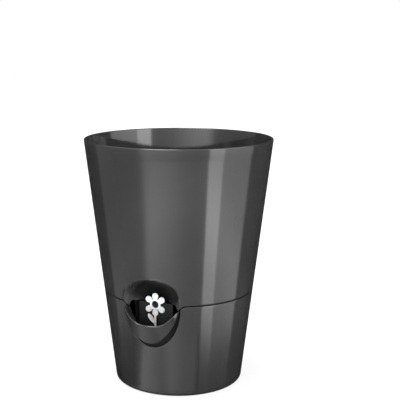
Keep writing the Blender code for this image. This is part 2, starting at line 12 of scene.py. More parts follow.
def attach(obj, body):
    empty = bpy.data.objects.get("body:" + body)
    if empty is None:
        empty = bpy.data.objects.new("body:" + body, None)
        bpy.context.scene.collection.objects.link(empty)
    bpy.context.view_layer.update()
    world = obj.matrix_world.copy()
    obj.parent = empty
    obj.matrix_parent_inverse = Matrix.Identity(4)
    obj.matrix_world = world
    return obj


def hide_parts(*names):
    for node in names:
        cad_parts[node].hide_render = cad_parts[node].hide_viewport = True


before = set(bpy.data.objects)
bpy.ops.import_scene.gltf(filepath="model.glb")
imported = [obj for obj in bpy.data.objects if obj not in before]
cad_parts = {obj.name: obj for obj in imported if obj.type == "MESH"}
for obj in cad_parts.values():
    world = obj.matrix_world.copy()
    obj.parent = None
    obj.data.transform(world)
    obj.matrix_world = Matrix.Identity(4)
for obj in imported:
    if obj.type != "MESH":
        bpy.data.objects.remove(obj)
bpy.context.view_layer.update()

MM = 0.001
# Edges that turn by more than this stay sharp, and points closer than this, in millimetres, are merged
SHARP = math.radians(38)
MERGE = 0.002

# Outer shell, as moulded
POT_HEIGHT = 170.0
RIM_RADIUS = 65.0
BASE_RADIUS = 44.3
SPLIT = 64.85
PLANTER_FOOT = 65.4
WALL = 2.0
RIM_ROUND = 0.8
SPLIT_ROUND = 0.62
BASE_CORNER = 2.4
FOOT_RING = 5.0
FOOT_RISE = 1.2
FLOOR_TOP = 3.4
INNER_CORNER = 3.0

# Egg-shaped recess that niche and pocket share
EGG_HALF_WIDTH = 19.5
NICHE_TOP = 82.6
NICHE_DEPTH = 14.6
NICHE_FLARE = 0.7
NICHE_EDGE = 0.65
NICHE_EASE = 1.4
NICHE_FULL = 0.085
# Dull patch at the niche's back, its colour painted dark as shade: its middle, half its width at the foot,
# how it widens upwards, how softly it ends, and how far it stays off the left rim
MATT_SHADE_MIDDLE = 3.0
MATT_SHADE_FOOT_WIDTH = 13.0
MATT_SHADE_SPREAD = 0.75
MATT_SHADE_FADE = 0.9
MATT_SHADE_LEFT = 4.0
# Fine bead outside the niche's rim, and then the pocket and its groove
NICHE_BEAD = 0.24
NICHE_BEAD_WIDTH = 0.55
NICHE_BEAD_PLACE = 0.6
POCKET_DROP = 29.5
GROOVE_DEPTH = 1.9
GROOVE_EDGE = 0.35
FOLD_WALL = 1.5
FACE_HALF_WIDTH = 19.1
FACE_DROP = 25.8
FACE_SQUARENESS = 1.75
FACE_EDGE = 0.45
FACE_FLANK = 3.2
FLANK_RUN = 5.5
PROUD_LOW = 4.6
PROUD_LIP = 7.0
POCKET_WALL = 1.6
# Lip: how far it dips, over which half width, and the power that eases it
LIP_DROP = 12.0
LIP_HALF_WIDTH = 22.8
LIP_EASE = 1.8
# The planter's foot hangs down from this far off the middle, over this width, and fades out at this height
TONGUE_INNER = 15.5
TONGUE_REACH = 2.5
TONGUE_HEIGHT = 6.0
LIP_ROUND = 0.72

# Inside of the planter: the skirt that plugs into the reservoir, and the ribs that carry the tray
SKIRT_FOOT = 57.8
SKIRT_OUTSIDE = 2.3
SKIRT_INSIDE = 3.9
SKIRT_TOP = 66.9
SKIRT_CHAMFER = 3.5
SKIRT_START = 26
RIB_COUNT = 6
RIB_TIP = 45.45
RIB_HALF_WIDTH = 1.0
RIB_TOP = 79.0
POST_RADIUS = 2.0
POST_HEIGHT = 5.0
POST_X = 16.7
POST_Y = -26.8

# Float gauge
FLOWER_HEIGHT = 63.4
FLOWER_BACK = 42.81
FLOWER_THICK = 1.4
PETAL_COUNT = 6
# Heights on the daisy's head: at and below the first its colour is painted grey as shade, from the second up
# it is white
PETAL_SHADE_FULL = 60.2
PETAL_SHADE_GONE = 63.0
PETAL_REACH = 7.9
PETAL_HALF_WIDTH = 2.45
PETAL_INNER = 2.5
PETAL_NECK = 0.7
PETAL_CROWDING = math.radians(6.5)
HUB_RADIUS = 3.7
EYE_RADIUS = 2.5
STEM_WIDTH = 1.6
STEM_FOOT_WIDTH = 3.2
# How far petals and leaf are set back, and how deep their middles are cupped
PETAL_SET = 0.12
PETAL_CUP = 0.3
LOW_PETAL_SET = 0.3
LEAF_SET = 0.35
LEAF_CUP = 0.35
ARM_BASE = 44.0
ARM_TOP = 46.3
LEAF_LENGTH = 8.4
LEAF_WIDTH = 3.0
LEAF_ANGLE = math.radians(38)
LEAF_ROOT = 49.8
# Rings of a cushion as shares of its outline, close together over its rolled edge
CUSHION = np.concatenate([np.linspace(0.02, 0.9, 9), 1 - 0.1 * (1 - np.sin(np.linspace(0.2, 1.57, 5)))])
ROLL_START = 0.84
ROLL_WIDTH = 0.16
ROLL_POWER = 2.4
ROLL_BACK = 0.6
CUP_SHARE = 0.8

# Felt
MAT_LOW = 81.8
MAT_THICK = 3.0
MAT_RADIUS = 42.0
WICK_OFFSET = 31.0
WICK_WIDTH = 14.0
WICK_THICK = 1.8
WICK_TAB = 18.0
WICK_FOOT = 8.4
# Gap under the wick where it lies on the mat, and where its waves start below the mat and reach full height
WICK_LIFT = 0.3
WICK_WAVE_START = 6.0
WICK_WAVE_RUN = 20.0
SLOT_GAP = 0.8
# Soft edge of the mat: how far it is drawn in, pressed down and let drop, and over which width it drops
MAT_DRAWN_IN = 0.5
MAT_PRESSED = 0.25
MAT_EDGE_DROP = 0.9
MAT_EDGE_RUN = 1.6
# Net of points over the mat, and how far it stays off the mat's edge and the slots
NET_STEP = 1.3
NET_MARGIN = 1.2
NET_SLOT_MARGIN = 0.5

# Studio. Light round the horizon, in degrees from the pot's front, positive towards +X, with its radiance.
LIGHTEST = 6.0
HORIZON = (
    (-180, 0.04), (-131, 0.04), (-110, 0.05), (-99, 0.08), (-94, 0.48), (-80, 0.56), (-45, 0.66), (-34, 0.72),
    (-28, 1.05), (-22, 1.95), (-16, 2.4), (0, 2.15), (15, 1.65), (29, 1.15), (45, 0.95), (54, 1.1), (57, 1.4),
    (59.5, 5.0), (76, 5.0), (79, 2.6), (100, 2.25), (118, 1.8), (123, 0.22), (160, 0.05), (180, 0.05),
)
# Its share left at a height, as the sine of the angle above the horizon
SHADE = (
    (-1, 0.04), (-0.87, 0.05), (-0.82, 0.14), (-0.77, 0.3), (-0.64, 0.5), (-0.57, 0.58), (-0.48, 0.69),
    (-0.42, 1.0), (-0.39, 0.93), (-0.36, 0.75), (-0.3, 0.65), (-0.1, 0.8), (0.05, 1.0), (0.2, 1.35),
    (0.45, 1.35), (1, 1.0),
)
# The left panel leans outwards towards its foot, by this share of a turn
LEFT_SIDE = ((-180, 1.0), (-10, 1.0), (7, 0.0), (180, 0.0))
LEFT_LEAN = ((-1, 0.1), (-0.553, 0.1), (-0.485, 0.015), (-0.41, 0.0), (1, 0.0))
# Both side panels end above the floor. Their feet rise towards their outer ends.
PANELS = ((-180, 1.0), (-50, 1.0), (-30, 0.0), (47, 0.0), (56, 1.0), (180, 1.0))
PANEL_FEET = (
    (-1, 0.92), (-0.559, 0.92), (-0.545, 0.74), (-0.534, 0.56), (-0.524, 0.3), (-0.505, 0.0), (1, 0.0),
)
FEET_RISE = (
    (-180, 0.17), (-140, 0.15), (-110, 0.12), (-80, 0.07), (-45, 0.02), (61, 0.0), (77, 0.007), (91, 0.022),
    (105, 0.039), (120, 0.061), (140, 0.094), (180, 0.17),
)
# Ceiling: even light, and a small lamp
CEILING = ((-1, 0.0), (0.5, 0.0), (0.8, 1.0), (1, 1.0))
LAMP = 20.0
LAMP_TOWARDS = (-0.2, -0.05, 0.978)
LAMP_EDGE = (0.965, 0.99)
OVERHEAD = 1.2
FLOOR_REACH = 3000.0
FLOOR_DROP = 0.05

# Camera: metres from the pot's axis and above its foot, turn to the right of its front, and pitch downwards
CAMERA_AWAY = 0.6197
CAMERA_HEIGHT = 0.2419
CAMERA_TURN = math.radians(21.0)
CAMERA_PITCH = math.radians(10.56)
CAMERA_LENS = 81.66
CAMERA_SENSOR = 36.0
CAMERA_SHIFT = 0.0532

# Grids: one column for each degree round the pot, and a window in front for the recess
COLUMN_STEP = math.radians(1.0)
WINDOW_COLUMNS = 36
WINDOW_ANGLE = WINDOW_COLUMNS * COLUMN_STEP
NICHE_ROWS = 30
NICHE_ROW_STEP = 1.0
POCKET_ROWS = 45
POCKET_ROW_STEP = 0.99
ROUND_STEPS = 6
# Rings as shares of the recess's ellipse: the niche's, close together over its rim, and from there or from
# the groove out to the window's outline. From BLEND_START on they turn into the columns of the round wall.
BOWL_SHARES = np.concatenate([np.linspace(0.0, 0.86, 26), np.linspace(0.875, 1.12, 26)])
NICHE_SPREAD = np.linspace(0.0, 1.0, 22)[1:] ** 1.4
POCKET_SPREAD = 1 - np.linspace(0.0, 1.0, 26) ** 0.75
BLEND_START = 1.2
TOP_SPREAD = np.linspace(0.0, 1.0, 12) ** 1.2

# Rounding of the plain cut and moulded pieces, and the middle part of a noise's range
EDGE = 0.3
FOAM_EDGE = 0.8
NOISE_SPAN = {"From Min": 0.3, "From Max": 0.7}


def radius(z):
    """Radius of the tapered outside at height z, all in millimetres."""
    return BASE_RADIUS + (RIM_RADIUS - BASE_RADIUS) * z / POT_HEIGHT


def on_cone(angle, z, inset):
    """Points at an angle round the pot, 0 at the front, on the outside moved in by inset."""
    angle, z = np.broadcast_arrays(angle, z)
    r = radius(z) - inset
    return np.stack([r * np.sin(angle), -r * np.cos(angle), z], -1)


def smooth_step(t):
    """0 to 1 with level ends."""
    t = np.clip(t, 0.0, 1.0)
    return t * t * (3.0 - 2.0 * t)


def soft_max(a, b, width):
    """The larger of a and b, with a parabola in place of the corner where they are within width of each
    other."""
    gap = np.clip((a - b) / width, -1.0, 1.0)
    return np.maximum(a, b) + width * (1.0 - np.abs(gap)) ** 2 / 4.0


class Skin:
    """Grids of points that together make one closed skin. Where edges meet, their points are merged."""

    def __init__(self):
        self.points = []
        self.marks = []
        self.faces = []
        self.count = 0

    def add(self, grid, closed=False, matt_shade=0.0):
        """Faces between the rows and columns of a grid. closed joins the last column to the first. The last
        argument is 1 where the surface is made dull and its colour painted dark as shade."""
        rows, columns = grid.shape[:2]
        index = np.arange(rows * columns).reshape(rows, columns) + self.count
        if closed:
            index = np.concatenate([index, index[:, :1]], 1)
        quads = np.stack([index[:-1, :-1], index[1:, :-1], index[1:, 1:], index[:-1, 1:]], -1)
        self.points.append(grid.reshape(-1, 3))
        self.marks.append(np.broadcast_to(matt_shade, (rows, columns)).ravel())
        self.faces.extend(quads.reshape(-1, 4).tolist())
        self.count += rows * columns

    def cap(self, ring):
        """One flat face over a ring of points."""
        self.points.append(ring)
        self.marks.append(np.zeros(len(ring)))
        self.faces.append(list(range(self.count, self.count + len(ring))))
        self.count += len(ring)

    def stack(self, rings):
        """A closed body from a stack of rings, with both ends capped."""
        self.add(rings, closed=True)
        self.cap(rings[0])
        self.cap(rings[-1])

    def build(self, name, finish):
        """Merge the grids, turn the faces outwards and make the object, with the points in metres."""
        mesh = bpy.data.meshes.new(name)
        mesh.from_pydata(np.concatenate(self.points) * MM, [], self.faces)
        mesh.attributes.new("matt_shade", "FLOAT", "POINT").data.foreach_set("value", np.concatenate(self.marks))
        bm = bmesh.new()
        bm.from_mesh(mesh)
        bmesh.ops.remove_doubles(bm, verts=bm.verts, dist=MERGE * MM)
        bmesh.ops.recalc_face_normals(bm, faces=bm.faces)
        bm.to_mesh(mesh)
        bm.free()
        mesh.shade_smooth()
        mesh.set_sharp_from_angle(angle=SHARP)
        mesh.materials.append(finish)
        piece = bpy.data.objects.new(name, mesh)
        bpy.context.scene.collection.objects.link(piece)
        return piece


def place(piece, body, slot, *nodes):
    """Put a piece on its body and hide the nodes that it stands for. Its finish's name, slot, is not used."""
    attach(piece, body)
    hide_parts(*nodes)
    return piece


def edge_strip(front, back, rise):
    """Strip that joins two edge curves. It leaves the front curve along rise, turns over in a quarter round
    as large as rise is long, runs flat, and comes down to the back curve in a second quarter round."""
    corner = np.linalg.norm(rise, axis=-1, keepdims=True)
    across = back - front
    width = np.linalg.norm(across, axis=-1, keepdims=True)
    corner = np.minimum(corner, width / 2)
    across = across / np.maximum(width, 1e-9)
    turns = np.linspace(0.0, math.pi / 2, ROUND_STEPS)[:, None, None]
    over = front + across * corner * (1 - np.cos(turns)) + rise * np.sin(turns)
    down = back - across * corner * (1 - np.cos(turns[::-1])) + rise * np.sin(turns[::-1])
    return np.concatenate([over, down])


def arc(centre, size, start, end):
    """Points (radius, height) of an arc between two angles in degrees."""
    turn = np.radians(np.linspace(start, end, ROUND_STEPS))
    return np.stack([centre[0] + size * np.cos(turn), centre[1] + size * np.sin(turn)], -1)


def revolve(profile, angles):
    """Carry a profile of (radius, height) points round the pot."""
    r, z = profile[:, :1], profile[:, 1:]
    return np.stack(np.broadcast_arrays(r * np.sin(angles), -r * np.cos(angles), z), -1)


def around(first, last):
    """Column angles in whole steps from first to last."""
    return np.arange(first, last + 1) * COLUMN_STEP


def window_path(rows, step, start, sign):
    """Outline of the window round the recess: along one side, across its far end and back along the other
    side. Gives the angle and the height of each point."""
    heights = start + sign * step * np.arange(rows + 1)
    across = around(-WINDOW_COLUMNS, WINDOW_COLUMNS)[::-1]
    angle = np.concatenate([np.full(rows, WINDOW_ANGLE), across, np.full(rows, -WINDOW_ANGLE)])
    z = np.concatenate([heights[:-1], np.full(len(across), heights[-1]), heights[:-1][::-1]])
    return angle, z


def chart(path, start, half_width, drop):
    """The window in polar form round the recess's middle. Share 1 is the ellipse with the given half axes,
    and outer is the share at which each ray meets the window's outline."""
    angle, z = path
    across = radius(z) * np.sin(angle) / half_width
    up = (z - start) / drop
    return np.arctan2(np.abs(up), across), np.hypot(across, up)


def window_points(x, z, inset, blend):
    """Points of the cone's surface, moved in by inset, over the window's x and z. Near the window's outline
    they follow the rays of the round wall, so that they meet its columns."""
    x = x * (1 - inset / radius(z) * blend)
    y = -np.sqrt((radius(z) - inset) ** 2 - x * x)
    return x, y


def add_skirt(skin):
    """Band inside the shell's foot, open at the front. It ends in a chamfer that runs up into the wall."""
    hidden = WALL / 2
    bend = 0.5
    profile = np.array([
        (hidden, SKIRT_TOP), (hidden, PLANTER_FOOT + bend), (SKIRT_OUTSIDE, PLANTER_FOOT),
        *arc((SKIRT_OUTSIDE + bend, SKIRT_FOOT + bend), bend, 180, 270),
        *arc((SKIRT_INSIDE - bend, SKIRT_FOOT + bend), bend, 270, 360),
        (SKIRT_INSIDE, SKIRT_TOP),
        (WALL, SKIRT_TOP + SKIRT_CHAMFER), (hidden, SKIRT_TOP + SKIRT_CHAMFER + bend),
    ])
    angles = around(SKIRT_START, 360 - SKIRT_START)
    skin.stack(on_cone(angles[:, None], profile[:, 1], profile[:, 0]))


def add_rib(skin, turn):
    """Rib that stands on the skirt and leans with the wall. Its free edges are rounded."""
    edge = 0.4
    levels = (
        (SKIRT_TOP - 1, 0.0), (RIB_TOP - edge, 0.0), (RIB_TOP - edge / 4, edge / 4), (RIB_TOP, edge),
    )
    rings = []
    for z, shrink in levels:
        root = radius(z) - WALL / 2
        half = RIB_HALF_WIDTH - shrink
        tip = RIB_TIP + shrink
        plan = np.concatenate([
            [(root, -half)],
            arc((tip + edge, -half + edge), edge, 270, 180),
            arc((tip + edge, half - edge), edge, 180, 90),
            [(root, half)],
        ])
        x = plan[:, 0] * math.cos(turn) - plan[:, 1] * math.sin(turn)
        y = plan[:, 0] * math.sin(turn) + plan[:, 1] * math.cos(turn)
        rings.append(np.stack([x, y, np.full_like(x, z)], -1))
    skin.stack(np.array(rings))


def lip_height(x):
    """Height of the reservoir's upper edge: level round the pot, with a dip along the pocket's mouth. The dip
    is a smooth step over a power of the distance from the middle."""
    share = np.minimum(np.abs(x) / LIP_HALF_WIDTH, 1.0) ** LIP_EASE
    return SPLIT - LIP_DROP * (1 - smooth_step(share))


def tongue(x):
    """How far the planter's foot hangs down at x. Beside the niche it follows the lip's dip, and inside the
    niche it doesn't hang down."""
    return (SPLIT - lip_height(x)) * smooth_step((np.abs(x) - TONGUE_INNER) / TONGUE_REACH)


def make_planter(finish):
    """Upper shell. The niche is a bowl over half an ellipse, fuller halfway up its right side. Its depth
    falls off with the square of the share, and faster towards its sides. Its rim is rolled over, most at the
    far left, with a fine bead outside it. Its back is dull inside the rim, with its colour painted dark as
    shade, in a patch that widens upwards."""
    skin = Skin()
    foot = PLANTER_FOOT + SPLIT_ROUND
    head = POT_HEIGHT - RIM_ROUND
    rise = NICHE_TOP - foot
    path = window_path(NICHE_ROWS, NICHE_ROW_STEP, foot, 1)
    theta, outer = chart(path, foot, EGG_HALF_WIDTH, rise)
    full = 1 + NICHE_FULL * np.maximum(np.sin(2 * theta), 0.0)
    bowl = BOWL_SHARES[:, None] * full
    share = np.concatenate([bowl, bowl[-1] + (outer - bowl[-1]) * NICHE_SPREAD[:, None]])
    x = EGG_HALF_WIDTH * share * np.cos(theta)
    z = foot + rise * share * np.sin(theta)
    z = z - tongue(x) * (1 - smooth_step((z - foot) / TONGUE_HEIGHT))
    blend = smooth_step((share - BLEND_START) / (outer - BLEND_START))
    share = share / full
    sunk = 1 - share * share
    flare = NICHE_FLARE * np.cos(theta) ** 2
    depth = NICHE_DEPTH * sunk * (1 - flare * np.minimum(1 - sunk, 1.0))
    left = np.maximum(-np.cos(theta), 0.0)
    roll = NICHE_EDGE + NICHE_EASE * left ** 4
    bead = NICHE_BEAD * np.exp(-(((share - 1) * EGG_HALF_WIDTH - NICHE_BEAD_PLACE) / NICHE_BEAD_WIDTH) ** 2)
    window = []
    for inset in (0.0, WALL):
        px, py = window_points(x, z, inset, blend)
        bowl_y = window_points(x, z, 0.0, blend)[1] + depth + inset
        window.append(np.stack([px, soft_max(py, bowl_y, roll + inset) - bead, z], -1))
    window_top = path[1].max()
    top_rows = window_top + TOP_SPREAD * (head - window_top)
    side_rows = np.concatenate([foot + NICHE_ROW_STEP * np.arange(NICHE_ROWS), top_rows])
    back_angles = around(WINDOW_COLUMNS, 360 - WINDOW_COLUMNS)
    front_angles = around(-WINDOW_COLUMNS, WINDOW_COLUMNS)
    # The niche's back gets the mark: made dull, with its colour painted dark as shade, in a patch that widens
    # upwards
    reach = np.minimum(
        (1 - share) * EGG_HALF_WIDTH - MATT_SHADE_LEFT * left,
        MATT_SHADE_FOOT_WIDTH + MATT_SHADE_SPREAD * (z - foot) - np.abs(x - MATT_SHADE_MIDDLE))
    matt_shade = smooth_step(reach / MATT_SHADE_FADE)
    for inset, patch, patch_matt_shade in zip((0.0, WALL), window, (matt_shade, 0.0)):
        skin.add(patch, matt_shade=patch_matt_shade)
        skin.add(on_cone(back_angles, side_rows[:, None], inset))
        skin.add(on_cone(front_angles, top_rows[:, None], inset))
    whole = around(0, 359)
    up = np.array([0.0, 0.0, 1.0])
    skin.add(edge_strip(on_cone(whole, head, 0.0), on_cone(whole, head, WALL), up * RIM_ROUND), closed=True)
    skin.add(edge_strip(on_cone(back_angles, foot, 0.0), on_cone(back_angles, foot, WALL), -up * SPLIT_ROUND))
    sill = [np.concatenate([patch[::-1, 0], patch[1:, -1]]) for patch in window]
    skin.add(edge_strip(sill[0], sill[1], -up * SPLIT_ROUND))
    add_skirt(skin)
    for i in range(RIB_COUNT):
        add_rib(skin, math.tau * i / RIB_COUNT)
    return skin.build("upper_shell", finish)


def lip_round(x):
    """Size of the rounding on that edge: larger on the lip."""
    return LIP_ROUND + (SPLIT_ROUND - LIP_ROUND) * smooth_step(np.abs(x) / LIP_HALF_WIDTH)


def pocket_y(x, z, inset):
    """Front of the pocket: at each height an arc that stands proud in the middle. At the split it meets the
    cone at the recess's full width, and lower down it leaves a flank there."""
    low = SPLIT - FACE_DROP
    lip = SPLIT - LIP_DROP
    proud = PROUD_LOW + (PROUD_LIP - PROUD_LOW) * (z - low) / (lip - low)
    front = radius(z) + proud
    flank = FACE_FLANK * smooth_step((SPLIT - z) / FLANK_RUN)
    rise = front - np.sqrt(radius(z) ** 2 - EGG_HALF_WIDTH ** 2) - flank
    size = (EGG_HALF_WIDTH ** 2 + rise ** 2) / (2 * rise)
    return size - front - np.sqrt(np.maximum((size - inset) ** 2 - x * x, 0.01))


def make_reservoir(finish):
    """Lower shell: foot ring, round wall, and the pocket inside its groove, with the groove's wall folded in.
    The pocket's outline is an ellipse with powers a little below 2, so its foot is a little pointed."""
    skin = Skin()
    head = SPLIT - SPLIT_ROUND
    drop = POCKET_DROP - SPLIT_ROUND
    path = window_path(POCKET_ROWS, POCKET_ROW_STEP, head, -1)
    theta, outer = chart(path, head, EGG_HALF_WIDTH, drop)
    face_share = (
        np.abs(EGG_HALF_WIDTH * np.cos(theta) / FACE_HALF_WIDTH) ** FACE_SQUARENESS
        + np.abs(drop * np.sin(theta) / (FACE_DROP - SPLIT_ROUND)) ** FACE_SQUARENESS
    ) ** (-1 / FACE_SQUARENESS)

    def ring(share):
        """Points of the recess's ellipse at a share, cut off along the lip."""
        x = EGG_HALF_WIDTH * share * np.cos(theta)
        z = head - drop * share * np.sin(theta)
        return x, np.minimum(z, lip_height(x) - lip_round(x))

    def rings(shares, inset, drops):
        """Rings of the offset cone, each moved further in by its drop."""
        rows = []
        for share, sunk in zip(shares, drops):
            x, z = ring(share)
            blend = smooth_step((share - BLEND_START) / (outer - BLEND_START))
            px, py = window_points(x, z, inset, blend)
            rows.append(np.stack([px, py + sunk, z], -1))
        return rows

    def face(share, inset):
        """Columns of the pocket's front, from its outline up to the lip."""
        x, low = ring(share)
        high = lip_height(x) - lip_round(x)
        steps = np.linspace(0.0, 1.0, 30)[1:, None]
        z = low + (high - low) * steps
        return np.stack([np.broadcast_to(x, z.shape), pocket_y(x, z, inset), z], -1)

    turns = np.linspace(0.0, math.pi / 2, ROUND_STEPS)
    sides = []
    for outside in (True, False):
        inset = 0.0 if outside else WALL
        edge = 1 + (GROOVE_EDGE if outside else FOLD_WALL) / EGG_HALF_WIDTH
        inner = face_share - (0.0 if outside else POCKET_WALL / EGG_HALF_WIDTH)
        floor = GROOVE_DEPTH if outside else GROOVE_DEPTH + FOLD_WALL
        rows = rings([edge + (outer - edge) * t for t in POCKET_SPREAD], inset, [0.0] * len(POCKET_SPREAD))
        size = GROOVE_EDGE / EGG_HALF_WIDTH
        rows += rings([edge - size * math.sin(t) for t in turns], inset, GROOVE_EDGE * (1 - np.cos(turns)))
        across = [edge - size + (inner - edge + size) * t for t in (0.0, 0.15, 0.85, 1.0)]
        # The groove's floor and the pocket's flank get the mark: made dull, with their colour painted dark as
        # shade
        matt_shade = [0.0] * len(rows) + [0.5, 1.0, 1.0, 1.0]
        rows += rings(across, floor, [0.0] * len(across))
        x, z = ring(inner)
        low_y = rows[-1][:, 1]
        high_y = pocket_y(x, z, inset and POCKET_WALL) + FACE_EDGE
        for part in (0.4, 0.8):
            rows.append(np.stack([x, low_y + (high_y - low_y) * part, z], -1))
            matt_shade.append(1.0)
        for t in turns[::-1]:
            x, z = ring(inner - FACE_EDGE / EGG_HALF_WIDTH * (1 - math.sin(t)))
            y = pocket_y(x, z, inset and POCKET_WALL) + FACE_EDGE * (1 - math.cos(t))
            rows.append(np.stack([x, y, z], -1))
        front = face(inner - FACE_EDGE / EGG_HALF_WIDTH, inset and POCKET_WALL)
        matt_shade = np.array(matt_shade + [0.0] * (ROUND_STEPS + len(front)))
        skin.add(np.concatenate([np.stack(rows), front]), matt_shade=matt_shade[:, None] if outside else 0.0)
        lip = np.concatenate([np.stack([row[0] for row in rows]), front[:, 0]])
        far = np.concatenate([np.stack([row[-1] for row in rows]), front[:, -1]])
        sides.append(np.concatenate([lip[:-1], front[-1], far[:-1][::-1]]))
    rise = np.array([0.0, 0.0, 1.0]) * lip_round(sides[0][:, :1])
    skin.add(edge_strip(sides[0], sides[1], rise))

    back_angles = around(WINDOW_COLUMNS, 360 - WINDOW_COLUMNS)
    side_rows = head - POCKET_ROW_STEP * np.arange(POCKET_ROWS + 1)
    for inset in (0.0, WALL):
        skin.add(on_cone(back_angles, side_rows[:, None], inset))
    up = np.array([0.0, 0.0, 1.0])
    skin.add(edge_strip(on_cone(back_angles, head, 0.0), on_cone(back_angles, head, WALL), up * SPLIT_ROUND))
    whole = around(0, 359)
    low = side_rows[-1]
    foot_inner = BASE_RADIUS - BASE_CORNER - FOOT_RING
    outside = np.concatenate([
        np.stack([np.linspace(0.0, foot_inner - FOOT_RISE, 8), np.full(8, FOOT_RISE)], -1),
        arc((foot_inner, FOOT_RISE), FOOT_RISE, 180, 270)[1:],
        arc((radius(BASE_CORNER) - BASE_CORNER, BASE_CORNER), BASE_CORNER, -90, -7),
        np.stack([radius(np.linspace(BASE_CORNER, low, 8)[1:]), np.linspace(BASE_CORNER, low, 8)[1:]], -1),
    ])
    bend = FLOOR_TOP + INNER_CORNER
    heights = np.linspace(bend, low, 8)[1:]
    inside = np.concatenate([
        np.stack([np.linspace(0.0, radius(bend) - WALL - INNER_CORNER, 8), np.full(8, FLOOR_TOP)], -1)[:-1],
        arc((radius(bend) - WALL - INNER_CORNER, bend), INNER_CORNER, -90, -7),
        np.stack([radius(heights) - WALL, heights], -1),
    ])
    skin.add(revolve(outside, whole), closed=True)
    skin.add(revolve(inside, whole), closed=True)
    turn = np.linspace(0.0, math.tau, 25)[:-1]
    for side in (-1, 1):
        rings = []
        for z, size in ((FLOOR_TOP - 1, POST_RADIUS), (FLOOR_TOP + POST_HEIGHT - 0.5, POST_RADIUS),
                        (FLOOR_TOP + POST_HEIGHT - 0.15, POST_RADIUS - 0.15),
                        (FLOOR_TOP + POST_HEIGHT, POST_RADIUS - 0.5)):
            x = side * POST_X + size * np.cos(turn)
            y = POST_Y + size * np.sin(turn)
            rings.append(np.stack([x, y, np.full_like(x, z)], -1))
        skin.stack(np.array(rings))
    return skin.build("lower_shell", finish)


def pillow(skin, x, z, middle, front, cup):
    """Closed cushion over an outline of x and z points round a middle: flat behind, with a rolled edge, and a
    front that is cupped by cup in its middle. front is the y of its rolled edge's crown."""
    back = -FLOWER_BACK
    thick = back - front
    rolled = thick / 2 * np.clip((CUSHION - ROLL_START) / ROLL_WIDTH, 0, 1) ** ROLL_POWER
    sunk = cup * (1 - smooth_step(CUSHION / CUP_SHARE))
    over = [(s, front + d + r) for s, d, r in zip(CUSHION, sunk, rolled)]
    under = [(s, back - r * ROLL_BACK) for s, r in zip(CUSHION[::-1], rolled[::-1])]
    rings = []
    for s, y in over + under:
        px = middle[0] + (x - middle[0]) * s
        pz = middle[1] + (z - middle[1]) * s
        rings.append(np.stack([px, np.full_like(px, y), pz], -1))
    skin.stack(np.array(rings))


def petal(number):
    """Outline of a petal: narrow at the hub, full at its tip. The side petals crowd towards the upright."""
    even = math.tau * number / PETAL_COUNT
    angle = even - PETAL_CROWDING * math.sin(2 * even)
    turn = np.linspace(0.0, math.tau, 41)[:-1]
    half = (PETAL_REACH - PETAL_INNER) / 2
    along = PETAL_INNER + half + half * np.cos(turn)
    full = PETAL_NECK + (1 - PETAL_NECK) * (along - PETAL_INNER) / (2 * half)
    across = PETAL_HALF_WIDTH * full * np.sin(turn)
    x = along * math.sin(angle) + across * math.cos(angle)
    z = FLOWER_HEIGHT + along * math.cos(angle) - across * math.sin(angle)
    middle = PETAL_INNER + half * 1.15
    return x, z, (middle * math.sin(angle), FLOWER_HEIGHT + middle * math.cos(angle))


def make_flower_head(finish):
    """Five cupped petals round a raised hub with the open eye."""
    skin = Skin()
    front = -FLOWER_BACK - FLOWER_THICK
    for i in range(PETAL_COUNT):
        if 2 * i != PETAL_COUNT:
            pillow(skin, *petal(i), front + PETAL_SET, PETAL_CUP)
    turn = np.linspace(0.0, math.tau, 49)[:-1]
    round_off = np.linspace(0.0, math.pi / 2, 5)
    edge = 0.45
    profile = [(HUB_RADIUS - edge + edge * math.sin(t), front + edge - edge * math.cos(t)) for t in round_off]
    profile += [(HUB_RADIUS, -FLOWER_BACK), (EYE_RADIUS, -FLOWER_BACK)]
    profile += [
        (EYE_RADIUS + edge - edge * math.cos(t), front + edge - edge * math.sin(t)) for t in round_off]
    profile.append(profile[0])
    rings = [np.stack([r * np.sin(turn), np.full_like(turn, y), FLOWER_HEIGHT + r * np.cos(turn)], -1)
             for r, y in profile]
    skin.add(np.array(rings), closed=True)
    return skin.build("daisy_head", finish)


